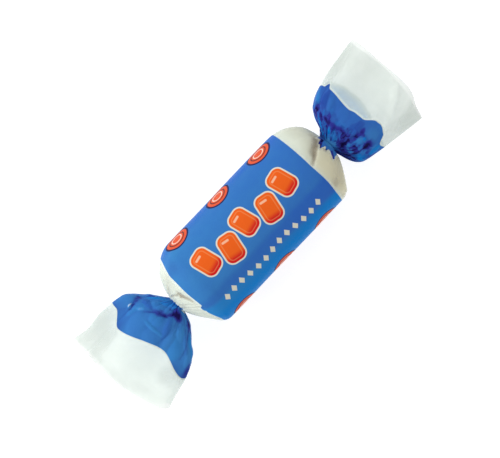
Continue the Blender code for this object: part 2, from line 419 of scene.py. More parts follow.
LEFT_FACETS = facets(
    (6.3, 0.88, 2.4, 1.2, 0.25), (5.9, 0.745, 0.5, 0.15, 1.8, 0, -0.6, 0.15),
    (5.7, 0.62, 1.9, 0.5, 0.25, 0.1), (5.2, 0.585, 0.75, 0.45, 1.2, 0, 0, -0.9),
    (3.4, 0.64, 0.45, 1.3, -0.45, 0, 0.15), (3.4, 0.21, 0.42, 0.85, -0.2, 0, 0.75),
    (7.6, 0.3, 2, 1.6, 0.12, 0, 0, 0.4), (6, 0.05, 0.4, 2.2, 0.4, 0.1),
    (7.5, -0.08, 1.4, 1.6, 0.08), (4.5, 0.1, 1, 1.2, 0.25, 0.1),
    (2.4, 0.45, 0.7, 1.1, 0.15, 0.1, 0, -0.4), (2, 0.93, 0.5, 0.22, -0.2, 0, 0.8, -0.3),
    (1.5, 0.86, 1, 0.35, 0.35, 0.6, 0, -0.2), (0.9, 0.45, 0.6, 0.6, 0, 0.5, 0.2, -0.5),
    (0.4, 0.05, 0.45, 0.8, -0.1, 0.5, 0.15), (4.3, -0.24, 2, 0.5, -0.3, 0, 0.15, 0.1),
    (5.6, -0.42, 2.1, 0.8, 0.15), (6.6, -0.62, 1.9, 1, 0.25, 0.15, 0, 0.1),
    (4.6, -0.82, 1.8, 0.45, -0.2, 0, 0.15, 0.2), (5, -0.94, 2.4, 0.4, 0.45, 0.4, 0, 0.1),
    (6.9, -0.9, 1.5, 0.8, 0.15), (3.4, -0.62, 1.3, 0.8, 0.2, 0.05, 0, 0.2),
    (1.2, -0.4, 0.72, 0.75, -0.3, 0, 1.7), (1.3, -0.9, 0.55, 0.6, -0.2, 0, 1.4),
    (8.7, -0.94, 1.6, 0.8, -0.2, 0, 0.62),
) + shadows(
    # on the bare film
    (13, 0.88, 5.8, 2.1, 0.75), (13.6, 0.57, 4.6, 1.3, 0.65),
    (16.5, 0.42, 3.2, 1.6, 0.45), (11.4, -0.72, 2.6, 2.4, 0.62, 0.5),
    (10.6, -0.92, 1.8, 1, 0.3), (16.2, -0.55, 1.4, 3, 0.4),
    (17.5, 0.2, 1.2, 4, 0.3),
    # on the shoulder
    (-0.9, 0.6, 0.9, 0.8, 0.35), (-2.4, 0.62, 1.2, 2, 0.3),
    (-5, 0.6, 1.4, 2, 0.3),
)


def scattered(side, count, longest):
    """Facets strewn over the lower face of a tail, with random painted light, reflection and shade,
    smaller and more shaded towards the neck.
    """
    rng = np.random.default_rng(40 + side)
    strewn = []
    for number in range(count):
        share = (number + 0.5) / count
        size = 0.45 + 1.2 * share
        strewn.append(
            Facet(
                beyond=0.6 + (longest - 0.6) * share,
                angle=rng.uniform(3.25, 6.15),
                length=size * rng.uniform(0.9, 1.6),
                width=size * rng.uniform(0.5, 0.9),
                slant=rng.uniform(-0.6, 0.6),
                light=rng.uniform(-0.35, 0.45),
                cyan=rng.choice([0.0, 0.1, 0.6]),
                dark=rng.choice([0.0, 0.1, 1.0 - share]),
            )
        )
    return tuple(strewn)


def wobble(side, beyond, seed):
    """A small uneven shift in millimetres: four waves that cross, each a whole number of times
    around the axis."""
    rng = np.random.default_rng(seed + side)
    shift = np.zeros_like(beyond)
    for times, size in ((8, 0.12), (13, 0.09), (21, 0.07), (34, 0.05)):
        along = rng.uniform(0.2, 0.7) * times / 6 * rng.choice([-1, 1])
        wave = times * ANGLE[None, :] + along * beyond + rng.uniform(0, 2 * np.pi)
        shift += WOBBLE[side] * size * np.sin(wave)
    return shift


def fold_relief(folds, beyond, turn, arc):
    """Height and painted shade that a list of folds gives to every point of an end.

    Across a fold the height is exp(-|offset / width| ** 1.4), beyond its two ends it dies away in
    the same way, and a lean widens one flank and narrows the other. Its painted shade falls by
    FOLD_FADING away from the neck.
    """
    height = np.zeros_like(beyond)
    dark = np.zeros_like(beyond)
    for fold in folds:
        run = max(fold.end - fold.start, 0.05)
        share = np.clip((beyond - fold.start) / run, 0, 1)
        middle = fold.start_angle + (fold.end_angle - fold.start_angle) * share
        slope = (fold.end_angle - fold.start_angle) * arc / run
        offset = wrapped(turn - middle) * arc / np.sqrt(1 + slope**2)
        past = np.maximum(np.maximum(fold.start - beyond, beyond - fold.end), 0)
        flank = fold.width * (1 + fold.lean * np.sign(offset))
        away = np.hypot(offset / flank, past / fold.width)
        height += fold.rise * np.exp(-(away**1.4))
        fading = 1 - FOLD_FADING * (share if fold.start >= 0 else 1 - share)
        dark = np.maximum(dark, fold.dark * fading * np.exp(-(away**2)))
    return height, dark


def facet_relief(facets, beyond, turn, arc):
    """Height, and the painted light, green painted reflection and painted shadow, that a list of
    facets gives.

    Every point belongs to the nearest facet, measured in the facet's own length and width, and
    the plain film counts as one more at the distance FACET_REACH. Each facet is a low dome, and
    two meet in a crease. The choice is soft, weighted by exp(-FACET_SHARPNESS * distance ** 2),
    so that creases are a little rounded. A shadow has the softer edge exp(-distance ** 2.4), and
    shadows add up.
    """
    plain = np.exp(-FACET_SHARPNESS * FACET_REACH**2)
    total = np.full_like(beyond, plain)
    strongest = np.full_like(beyond, plain)
    sums = np.zeros((2, *beyond.shape))
    shadow = np.zeros_like(beyond)
    for facet in facets:
        along = beyond - facet.beyond
        offset = wrapped(turn - facet.angle) * arc
        forward = along * np.cos(facet.slant) + offset * np.sin(facet.slant)
        sideways = offset * np.cos(facet.slant) - along * np.sin(facet.slant)
        near = (forward / facet.length) ** 2 + (sideways / facet.width) ** 2
        weight = np.exp(-FACET_SHARPNESS * near)
        total += weight
        strongest = np.maximum(strongest, weight)
        sums += weight * np.array([facet.light, facet.cyan])[:, None, None]
        shadow += facet.dark * np.exp(-(near**1.2))
    height = FACET_RISE * np.log(total) / FACET_SHARPNESS
    light, cyan = sums / total
    crease = (1 - strongest / total) * smooth(-0.5, 0.5, beyond) * (1 - smooth(7, 9, beyond))
    return height, light, cyan, shadow + CREASE_PAINTED_SHADE * crease


def gathers(side, beyond, count, depth, inward, onward):
    """Height of the small pleats around a neck, and the shade painted in their valleys.

    The angle is bent by two slow waves, so that pleats are uneven, and turns a little along the
    axis, as a twist does. Each of the count valleys has its own depth, and its own length inward
    and onward.
    """
    rng = np.random.default_rng(count + side)
    phase = rng.uniform(0, 2 * np.pi, 2)
    bent = ANGLE + 0.10 * np.sin(3 * ANGLE + phase[0]) + 0.06 * np.sin(7 * ANGLE + phase[1])
    cell = (bent[None, :] + side * TWIST * np.tanh(beyond / TWIST_LENGTH)) * count / (2 * np.pi)
    nearest = np.round(cell)
    valley = nearest.astype(int) % count
    depths = rng.uniform(0.15, 1.0, count) ** 1.3
    inwards = rng.uniform(0.25, 1.0, count) * inward
    onwards = rng.uniform(0.15, 1.0, count) * onward
    fade = hump(beyond, np.where(beyond > 0, onwards[valley], inwards[valley]))
    notch = np.exp(-((np.abs(cell - nearest) / 0.2) ** 1.2))
    dark = depths[valley] * notch * fade
    return -depth * dark, dark


def crumple_cells(side, beyond, turn):
    """Small facets of crumpled film: a height, and a number from 0 to 1 that each facet has.

    CELLS of them lie around the axis, in rows that grow longer with the distance from the roll,
    as a logarithm does. Each middle is shifted at random, every point belongs to the nearest
    middle, and the height falls with the square of the distance from it.
    """
    rng = np.random.default_rng(60 + side)
    rows = 20
    shift = rng.uniform(-0.4, 0.4, (2, rows, CELLS))
    number = rng.uniform(0, 1, (rows, CELLS))
    along = CELL_ROWS * np.log1p(np.maximum(beyond + 2, 0) / CELL_GROWTH)
    around = turn * CELLS / (2 * np.pi)
    nearest = np.full_like(beyond, 9.0)
    own = np.zeros_like(beyond)
    for step in range(9):
        row = np.round(along) + step // 3 - 1
        column = np.round(around) + step % 3 - 1
        cell = (np.clip(row, 0, rows - 1).astype(int), column.astype(int) % CELLS)
        away = (along - row - shift[0][cell]) ** 2 + (around - column - shift[1][cell]) ** 2
        own = np.where(away < nearest, number[cell], own)
        nearest = np.minimum(nearest, away)
    return -nearest, own


# One value of each kind for every point of an end.
Relief = namedtuple("Relief", "height light cyan dark crumple")


def end_relief(end, folds, facets, points, beyond):
    """The whole relief of one end, with its painted light, reflection and shade: facets, folds, the
    pleats around the neck, and the crumple.

    Where a facet's dark is below zero the film lies flat: pleats, crumple and the painted shade of
    folds are weaker there.
    """
    around = np.roll(points, -1, axis=1) - np.roll(points, 1, axis=1)
    arc = np.linalg.norm(around, axis=-1) * COLUMNS / (4 * np.pi)
    bent = beyond + wobble(end.side, beyond, 5) * smooth(-4, 0, beyond)
    turn = ANGLE[None, :] + wobble(end.side, beyond, 8) / arc
    height, dark = fold_relief(folds, bent, turn, arc)
    domes, light, cyan, shadow = facet_relief(facets, bent, turn, arc)
    height += (domes + FACET_RISE * FACET_REACH**2) * smooth(-0.5, 1.5, beyond) - FACET_RISE
    height += FACET_RISE * (1 - smooth(0.0, 2.0, beyond))
    flat = np.clip(1 + 0.9 * shadow, 0.1, 1)
    pleated = PLEATED[end.side] * flat
    shades = np.zeros_like(beyond)
    for count, depth, inward, onward in GATHERS:
        small, shade = gathers(end.side, beyond, count, depth, inward, onward)
        height += small * pleated
        shades = np.maximum(shades, GATHER_PAINTED_SHADE * pleated * shade)
    amount, reach = CRUMPLE[end.side]
    reach = reach * (1 + 0.3 * smooth(0.0, 0.6, -np.cos(turn)))
    crumple = amount * np.exp(-((np.maximum(beyond, 0) / reach) ** 4))
    crumple = crumple * smooth(-0.2, 0.8, beyond) * flat
    small, number = crumple_cells(end.side, bent, turn)
    height += CELL_RISE * crumple * small
    uneven = CELL_UNEVEN[1] * number - CELL_UNEVEN[0]
    dark = np.maximum(dark, shadow) * (1 + crumple * uneven)
    dark = np.maximum(dark, shades) + np.minimum(shadow, 0)
    dark = dark + crumple * CELL_PAINTED_SHADE * smooth(*SHADED_CELLS, number)
    light = light + crumple * (CELL_PAINTED_LIGHT[0] + CELL_PAINTED_LIGHT[1] * number)
    greener = CELL_PAINTED_REFLECTION[0] + CELL_PAINTED_REFLECTION[1] * smooth(0.1, 0.6, np.cos(turn))
    cyan = cyan + crumple * greener * (1 - smooth(*REFLECTING_CELLS, number))
    return Relief(height, light, cyan, dark, crumple)


def roll_relief(x):
    """Height of the soft forms over the roll: a long blunt ridge where the stiff film bends, the
    lap of the film's edge underneath, and slow dents."""
    from_ridge = wrapped(ANGLE[None, :] - RIDGE_ANGLE)
    bend = np.hypot(from_ridge, RIDGE_ROUNDING) - RIDGE_ROUNDING
    ridge = -RIDGE_HEIGHT * bend * hump(from_ridge, RIDGE_WIDTH)
    from_lap = wrapped(ANGLE[None, :] - LAP_ANGLE)
    lap = LAP_HEIGHT * np.where(from_lap > 0, np.exp(-from_lap / LAP_LENGTH), 0)
    dents = DENT_DEPTH * np.sin(2 * ANGLE[None, :] + x / 5.0) * np.sin(x / 6.5 + 1.0)
    return ridge + lap + dents


# ---------- where the ink lies

# Edges of the print, as (angle in degrees, millimetres): from the label's middle for its two
# edges, and beyond the neck for the start and the edge of the blue of a twist.
LABEL_EDGE_MINUS_X = ((20, 15.9), (60, 16.6), (90, 16.75), (115, 16.5), (120, 17.05), (160, 16.0))
LABEL_EDGE_PLUS_X = ((20, 15.6), (90, 15.75), (120, 15.9), (150, 15.7))
TWIST_START_MINUS_X = (
    (0, 0.0), (40, 0.0), (70, -0.15), (95, -0.2), (128, -0.2), (138, 0.12), (160, 0.12),
    (200, -0.3), (230, -0.1), (260, -0.4), (300, -0.1), (330, -0.3),
)
TWIST_START_PLUS_X = (
    (20, 0.0), (45, -0.1), (58, -0.35), (64, -0.8), (68, -0.65), (78, -1.4), (85, -2.1),
    (87, -1.2), (89, -1.15), (93, -1.75), (96, -1.1), (100, -1.1), (105, -1.5), (111, -2.0),
    (115, -1.7), (118, -1.0), (124, -0.7), (134, -0.4), (180, -0.2), (200, -0.9), (215, -0.3),
    (235, -1.3), (250, -0.5), (270, -1.5), (285, -0.6), (305, -1.1), (325, -0.4), (345, -0.7),
)
TWIST_EDGE_MINUS_X = (
    (0, 8.1), (30, 8.2), (57, 10.6), (115, 7.8), (155, 10.7), (180, 10.2), (230, 8.6), (285, 9.2),
    (330, 8.0),
)
TWIST_EDGE_PLUS_X = (
    (0, 7.2), (30, 7.4), (37, 8.4), (43, 7.6), (78, 7.05), (88, 7.42), (99, 7.5), (116, 9.1),
    (124, 9.3), (142, 8.9), (158, 7.2), (180, 7.9), (225, 8.4), (245, 9.2), (262, 10.2),
    (278, 10.6), (301, 10.4), (322, 9.4), (338, 7.6),
)
# How far inside the blue of a twist the roll lies: well outside it.
NO_PRINT = -9
# The blue's tint at each twist; the one at +X is darker, as painted shade.
TWIST_TINT = {-1: 0.52, +1: 0.34}


def edge_line(outline):
    """A line around the axis through a few places, with a smooth S from each to the next."""
    angles = np.radians([place[0] for place in outline])
    values = np.array([place[1] for place in outline])
    after = np.searchsorted(angles, ANGLE) % len(angles)
    before = after - 1
    gap = (angles[after] - angles[before]) % (2 * np.pi)
    share = ((ANGLE - angles[before]) % (2 * np.pi)) / gap
    return (values[before] + (values[after] - values[before]) * smooth(0, 1, share))[None, :]


def within(low, value, high):
    """How far a value lies inside a stretch, below zero outside it."""
    return np.minimum(value - low, high - value)


# ---------- the film and the paper as grids

# Points of the film around the axis, from -X to +X, and values of each: ink is how far inside the
# print it lies, fold how much shade is painted in its creases, tint how light its blue is, with
# painted light and shade, cyan how much green painted reflection it gets, warm how much yellow is
# painted as shade on the bare film and the paper, and crumple how strongly it is creased all over.
Film = namedtuple("Film", "points ink fold tint cyan warm crumple")


def film_grid():
    """The whole film in one grid."""
    minus, minus_beyond = main_surface(LEFT)
    plus, plus_beyond = main_surface(RIGHT)
    span = np.linspace(0, 1, ROLL_ROWS + 2)[1:-1, None, None]
    roll = np.zeros((ROLL_ROWS, COLUMNS))

    def joined(minus_rows, plus_rows, roll_rows=roll):
        return np.concatenate([minus_rows[::-1], roll_rows, plus_rows])

    points = joined(minus, plus, minus[0] * (1 - span) + plus[0] * span)
    minus_relief = end_relief(
        LEFT, LEFT_FOLDS + LEFT_SHOULDER_FOLDS, LEFT_FACETS + scattered(-1, 26, 9.0),
        minus, minus_beyond,
    )
    plus_relief = end_relief(
        RIGHT, RIGHT_FOLDS + RIGHT_SHOULDER_FOLDS, RIGHT_FACETS + scattered(+1, 34, 10.0),
        plus, plus_beyond,
    )
    relief = Relief(*(joined(*pair) for pair in zip(minus_relief, plus_relief)))
    x = points[..., 0]
    over_roll = smooth(-LEFT.neck, -LEFT.shoulder - 1, x)
    over_roll = over_roll * smooth(-RIGHT.neck, -RIGHT.shoulder - 1, -x)
    height = relief.height + over_roll * roll_relief(x)
    points = points + outward(points) * height[..., None]
    points[..., 2] = np.maximum(points[..., 2], FLAT_DEPTH - ROLL_RADIUS)

    label = within(-edge_line(LABEL_EDGE_MINUS_X), x, edge_line(LABEL_EDGE_PLUS_X))
    twists = joined(
        within(edge_line(TWIST_START_MINUS_X), minus_beyond, edge_line(TWIST_EDGE_MINUS_X)),
        within(edge_line(TWIST_START_PLUS_X), plus_beyond, edge_line(TWIST_EDGE_PLUS_X)),
        roll + NO_PRINT,
    )
    tint, cyan = blue_tone(x, relief)
    ink = np.maximum(label, twists)
    return Film(points, ink, relief.dark, tint, cyan, painted_warm_shade(x), relief.crumple)


# The blue over the roll, its tint holding painted light and shade. The tint falls a little towards
# +X, as painted shade. The rim at +Y and the lower face, below the blunt ridge, are painted
# deeper, the rim also greener, against the reflection there, and the lower face as shade. The
# painted sheen, and the lowest band as painted reflected light from below, are lighter by so much;
# that band is greener too.
ROLL_TINT, ROLL_TINT_FALL = 0.53, 0.005
RIM_PAINTED_SHADE, RIM_CYAN = 0.20, 0.2
LOWER_PAINTED_SHADE = 0.13
LOWEST_PAINTED_REFLECTION, LOWEST_FALL = 0.20, 0.006
LOWEST_BORDER, LOWEST_TURN = np.radians(132), np.radians(0.45)
# The sheen is a band that rises to +Y along the roll: where it starts, its slope and width.
SHEEN_START = (-15, 5.5)
SHEEN_SLOPE = 0.67
SHEEN_WIDTH = 0.9
SHEEN_LIGHTER = 0.06
# On a twist: how much a facet's painted light counts, and how much lighter the face that looks
# to -Y is painted.
TWIST_LIGHT = 0.4
TWIST_DOWNHILL = 0.12


def blue_tone(x, relief):
    """Tint and cyan of the printed blue, with painted light, shade and reflection in them. Over the
    roll they change in bands around it, and on a twist they follow the facets of the folded film."""
    turn = ANGLE[None, :] + 0 * x
    lower = smooth(RIDGE_ANGLE - 0.05, RIDGE_ANGLE + 0.12, turn)
    border = LOWEST_BORDER + x * LOWEST_TURN
    lowest = smooth(border - 0.08, border + 0.08, turn) * (1 - smooth(3.6, 4.2, turn))
    past, up = x - SHEEN_START[0], ROLL_RADIUS * np.cos(turn) - SHEEN_START[1]
    sheen = hump(up - SHEEN_SLOPE * past, SHEEN_WIDTH) * (turn < np.pi)
    sheen = sheen * smooth(-2, 0, past) * smooth(9.5, 12.5, -x)
    rim = smooth(0.80, 0.97, np.cos(turn)) * (np.abs(x) < 16)
    roll_tint = ROLL_TINT - ROLL_TINT_FALL * x - RIM_PAINTED_SHADE * rim - LOWER_PAINTED_SHADE * lower
    roll_tint = roll_tint + SHEEN_LIGHTER * sheen + (LOWEST_PAINTED_REFLECTION - LOWEST_FALL * x) * lowest
    on_minus = smooth(LEFT.neck - 1.5, LEFT.neck - 1, -x)
    on_plus = smooth(RIGHT.neck - 2.6, RIGHT.neck - 2.2, x)
    twist = on_minus + on_plus
    twist_tint = TWIST_TINT[-1] * on_minus + TWIST_TINT[+1] * on_plus
    downhill = smooth(-0.1, 0.9, -np.cos(turn)) * (turn < np.pi)
    twist_tint = twist_tint + (TWIST_LIGHT * relief.light + TWIST_DOWNHILL * downhill) * twist
    greener = lowest * (0.5 + 0.5 * smooth(-0.70, -0.88, np.cos(turn)))
    tint = roll_tint * (1 - twist) + twist_tint
    cyan = (greener + RIM_CYAN * rim) * (1 - twist) + relief.cyan * twist
    return np.clip(tint, 0, 2), np.clip(cyan, 0, 1)


# Where the yellow painted as shade over the shoulder at +X sets in, is full, still full and gone.
WARM_SHADE_STRETCH = (15.5, 19.5, 21.0, 22.5)


def painted_warm_shade(x):
    """How much yellow is painted as shade on the wrapper over the shoulder at +X: more towards the
    neck and towards -Y, where the light is weakest, and nowhere else."""
    lower = smooth(-0.5, 0.3, -np.cos(ANGLE[None, :]))
    starts, full, still_full, gone = WARM_SHADE_STRETCH
    warm = smooth(starts - lower, full - 2 * lower, x) * smooth(-gone, -still_full, -x)
    return warm * (0.3 + 0.6 * lower)


def paper_grid(film):
    """The paper under the film, between the necks: the film's rows drawn in by PAPER_DEPTH, with
    wrinkles of its own, and a last row at each end that closes on the axis."""
    rows = slice(TAIL_ROWS + 1, -TAIL_ROWS - 1)
    inner = film.points[rows] - outward(film.points)[rows] * PAPER_DEPTH
    x = inner[..., 0]
    near = smooth(LEFT.shoulder, LEFT.neck, -x) + smooth(RIGHT.shoulder, RIGHT.neck, x)
    wrinkles = np.sin(9 * ANGLE + x / 2.0) * np.sin(13 * ANGLE - x / 3.1 + 1.0) * near
    inner = inner - outward(inner) * (0.05 * (1 + wrinkles))[..., None]
    inner[..., 2] = np.maximum(inner[..., 2], FLAT_DEPTH - ROLL_RADIUS + PAPER_DEPTH)
    return inner, {"fold": film.fold[rows], "warm": film.warm[rows]}


# ---------- meshes


def tube_faces(rows):
    """Faces between rows of points around the axis, turned outwards for rows that run to +X."""
    row = np.arange(rows - 1)[:, None] * COLUMNS
    here = np.arange(COLUMNS)[None, :]
    there = (here + 1) % COLUMNS
    corners = [row + here, row + there, row + COLUMNS + there, row + COLUMNS + here]
    return np.stack(corners, axis=-1).reshape(-1, 4)


def added(name, data):
    """A new object of that data in the scene."""
    thing = bpy.data.objects.new(name, data)
    bpy.context.scene.collection.objects.link(thing)
    return thing


def piece_from_grid(name, points, values, closed):
    """A mesh object of a grid of points in millimetres, moved to the frame's place, with values
    as attributes. A closed grid gets one more point in the middle of each end."""
    verts = points.reshape(-1, 3)
    faces = tube_faces(len(points)).tolist()
    if closed:
        first, last = len(verts), len(verts) + 1
        verts = np.concatenate([verts, [points[0].mean(axis=0), points[-1].mean(axis=0)]])
        here = np.arange(COLUMNS)
        there = (here + 1) % COLUMNS
        bottom = (len(points) - 1) * COLUMNS
        faces += np.stack([there, here, here * 0 + first], axis=-1).tolist()
        faces += np.stack([bottom + here, bottom + there, here * 0 + last], axis=-1).tolist()
    mesh = bpy.data.meshes.new(name)
    mesh.from_pydata(((verts + CENTRE) * MM).tolist(), [], faces)
    for key, value in values.items():
        layer = mesh.attributes.new(key, "FLOAT", "POINT")
        filled = np.zeros(len(verts), dtype=np.float32)
        filled[: value.size] = value.ravel()
        layer.data.foreach_set("value", filled)
    mesh.shade_smooth()
    mesh.update()
    return added(name, mesh)


def film_piece(name, film, rows, material, inner_face):
    """One length of the film, with its thickness laid on inwards and its own inner face."""
    values = {key: getattr(film, key)[rows] for key in Film._fields[1:]}
    piece = piece_from_grid(name, film.points[rows], values, closed=False)
    wall = piece.modifiers.new("wall", "SOLIDIFY")
    wall.thickness = FILM_THICKNESS * MM
    wall.offset = -1
    wall.material_offset = 1
    piece.data.materials.append(material)
    piece.data.materials.append(inner_face)
    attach(piece, "root")
    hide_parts("film")


# ---------- node tools


class Field:
    """A number at every point of a surface, joined from math nodes as if it were a number."""

    def __init__(self, socket):
        self.tree = socket.id_data
        self.socket = socket

    def math(self, operation, *others, clamp=False):
        node = self.tree.nodes.new("ShaderNodeMath")
        node.operation = operation
        node.use_clamp = clamp
        for slot, value in enumerate((self, *others)):
            plug(node, slot, value)
        return Field(node.outputs[0])

    def __add__(self, other):
        return self.math("ADD", other)

    def __sub__(self, other):
        return self.math("SUBTRACT", other)

    def __mul__(self, other):
        return self.math("MULTIPLY", other)

    def low(self, other):
        """The lower of two."""
        return self.math("MINIMUM", other)

    def high(self, other):
        """The higher of two."""
        return self.math("MAXIMUM", other)

    def round(self):
        return self.math("ROUND")

    def size(self):
        """The number without its sign."""
        return self.math("ABSOLUTE")

    def length(self, other):
        """Length of the arrow with these two sides."""
        return (self * self + other * other).math("SQRT")

    def inside(self, blur):
        """1 where the number is below zero, 0 above, with an edge as wide as the blur."""
        return (self * (-1.0 / blur) + 0.5).math("ADD", 0.0, clamp=True)

    def step(self, low, high):
        """0 below low and 1 above high, with a smooth S between."""
        node = self.tree.nodes.new("ShaderNodeMapRange")
        node.interpolation_type = "SMOOTHSTEP"
        plug(node, "From Min", low)
        plug(node, "From Max", high)
        plug(node, "Value", self)
        return Field(node.outputs["Result"])


def plug(node, slot, value):
    """Gives a node's input a number or a colour, or joins a field or a socket to it."""
    if isinstance(value, Field):
        value = value.socket
    if isinstance(value, bpy.types.NodeSocket):
        node.id_data.links.new(value, node.inputs[slot])
    else:
        node.inputs[slot].default_value = value


def colour(red, green, blue):
    """Linear light of a colour given as it is seen, 0 to 255."""
    seen = np.array([red, green, blue]) / 255
    light = np.where(seen <= 0.04045, seen / 12.92, ((seen + 0.055) / 1.055) ** 2.4)
    return (*light.tolist(), 1.0)


def blend_colour(share, below, above):
    """Colour socket that goes from one colour or socket to another by a field."""
    node = share.tree.nodes.new("ShaderNodeMix")
    node.data_type = "RGBA"
    plug(node, "Factor", share)
    plug(node, 6, below)
    plug(node, 7, above)
    return node.outputs[2]


def attribute(place, name):
    """The piece's own value of that name."""
    node = place.id_data.nodes.new("ShaderNodeAttribute")
    node.attribute_name = name
    return Field(node.outputs["Fac"])


def noise(place, scale, detail):
    """A cloudy number from 0 to 1 at so many clouds a millimetre."""
    node = place.id_data.nodes.new("ShaderNodeTexNoise")
    plug(node, "Scale", scale / MM)
    plug(node, "Detail", detail)
    plug(node, "Vector", place)
    return Field(node.outputs["Fac"])


def ramp(field, stops):
    """Colour socket that runs through a few colours by a field."""
    node = field.tree.nodes.new("ShaderNodeValToRGB")
    plug(node, "Fac", field)
    band = node.color_ramp.elements
    while len(band) < len(stops):
        band.new(0.5)
    for stop, (place, shade) in zip(band, stops):
        stop.position = place
        stop.color = shade
    return node.outputs["Color"]


def fresh_material(name):
    """A new material, its shader, and a socket with the piece's own coordinates."""
    material = bpy.data.materials.new(name)
    material.use_nodes = True
    tree = material.node_tree
    tree.nodes.clear()
    shader = tree.nodes.new("ShaderNodeBsdfPrincipled")
    output = tree.nodes.new("ShaderNodeOutputMaterial")
    plug(output, "Surface", shader.outputs["BSDF"])
    place = tree.nodes.new("ShaderNodeTexCoord").outputs["Object"]
    return material, shader, place


def bump(shader, field, distance):
    """Fine relief on the shader: the field's height times a distance in millimetres."""
    node = field.tree.nodes.new("ShaderNodeBump")
    plug(node, "Distance", distance * MM)
    plug(node, "Height", field)
    plug(shader, "Normal", node.outputs["Normal"])


# ---------- the print's pattern

# All in millimetres. A place is the arc from the top of the roll, positive towards +Y.
PRINT_REPEAT = 24.0
PRINT_BLUR = 0.1
CREAM = colour(226, 222, 204)
BLOCK_PITCH = 5.0
BLOCK_PLACE = 0.7
BLOCK_STEP = 0.8
BLOCK_HALF = (1.9, 2.75)
BLOCK_CORNER = 1.3
BLOCK_TILT = float(np.radians(13))
BLOCK_OUTLINE = 0.28
BLOCK_BEVEL = 0.55
BLOCK_SHADES = (colour(238, 100, 33), colour(212, 36, 34))
BEVEL_SHADE = colour(250, 170, 110)
BEVEL_SHARE = 0.35
# The painted shine near a block's upper edge.
SHINE_PLACE = (-0.35, 1.55)
SHINE_HALF = (0.75, 0.22)
SHINE_CORNER = 0.2
SHINE_SHADE = colour(250, 205, 170)
SHINE_SHARE = 0.75
LOZENGE_PITCH = 2.0
LOZENGE_PLACE = -6.4
LOZENGE_HALF = (0.62, 0.95)
LOZENGE_WAVE = (12.0, 0.35)
DISC_PITCH = 11.0
DISC_PLACE = 10.6
# Rings of a round sweet, each over the last: radius of its middle line, half its width, colour.
DISC_RINGS = (
    (0, 2.9, colour(38, 42, 84)),
    (0, 2.5, colour(226, 92, 58)),
    (1.75, 0.14, colour(110, 52, 48)),
    (1.15, 0.12, colour(240, 214, 196)),
)


def unrolled(place):
    """Millimetres along the roll and around it: x from the label's middle, and the arc from the
    top, positive towards +Y."""
    node = place.id_data.nodes.new("ShaderNodeSeparateXYZ")
    plug(node, 0, place)
    x, y, z = (Field(node.outputs[axis]) * (1 / MM) - CENTRE[axis] for axis in range(3))
    return x, y.math("ARCTAN2", z) * ROLL_RADIUS


def rounded_box(x, y, half, corner):
    """Distance to a box with round corners, below zero inside it."""
    beside = x.size() - (half[0] - corner)
    above = y.size() - (half[1] - corner)
    out = beside.high(0.0).length(above.high(0.0))
    return out + beside.high(above).low(0.0) - corner


def repeated(field, pitch, most):
    """Number of the nearest of the places pitch apart, up to most on each side, and the distance
    from it."""
    number = (field * (1 / pitch)).round().high(-most).low(most)
    return number, field - number * pitch


def around_again(arc):
    """Distance along the arc to the nearest of the places PRINT_REPEAT apart."""
    return arc - (arc * (1 / PRINT_REPEAT)).round() * PRINT_REPEAT


def label_print(place, ground):
    """The label's pattern over its blue ground, as a colour socket: tilted orange caramel blocks
    with a cream outline, a waved row of cream lozenges, and round sweets with a dark rim. The
    pattern repeats around the roll."""
    x, arc = unrolled(place)

    number, beside = repeated(x, BLOCK_PITCH, 2)
    side = (number * np.pi).math("COSINE")
    above = around_again(arc) - BLOCK_PLACE - side * BLOCK_STEP
    across = beside * np.cos(BLOCK_TILT) + above * side * np.sin(BLOCK_TILT)
    upward = above * np.cos(BLOCK_TILT) - beside * side * np.sin(BLOCK_TILT)
    block = rounded_box(across, upward, BLOCK_HALF, BLOCK_CORNER)
    body = blend_colour(upward.step(-0.9, -2.2), *BLOCK_SHADES)
    bevel = (block + BLOCK_BEVEL).size().step(0.16, 0.02)
    body = blend_colour(bevel * BEVEL_SHARE, body, BEVEL_SHADE)
    middle = across - SHINE_PLACE[0], upward - SHINE_PLACE[1]
    shine = rounded_box(*middle, SHINE_HALF, SHINE_CORNER).inside(0.12)
    body = blend_colour(shine * SHINE_SHARE, body, SHINE_SHADE)
    result = blend_colour((block - BLOCK_OUTLINE).inside(PRINT_BLUR), ground, CREAM)
    result = blend_colour(block.inside(0.08), result, body)

    _, beside = repeated(x, LOZENGE_PITCH, 6)
    length, height = LOZENGE_WAVE
    above = around_again(arc) - LOZENGE_PLACE - (x * (2 * np.pi / length)).math("SINE") * height
    sides = [field.size() for field in (beside, above)]
    lozenge = sides[0] * (1 / LOZENGE_HALF[0]) + sides[1] * (1 / LOZENGE_HALF[1]) - 1.0
    result = blend_colour(lozenge.inside(0.16), result, CREAM)

    _, beside = repeated(x, DISC_PITCH, 1)
    radius = beside.length(around_again(arc - DISC_PLACE))
    for middle, half, shade in DISC_RINGS:
        ring = (radius - middle).size() - half
        result = blend_colour(ring.inside(PRINT_BLUR), result, shade)
    return result


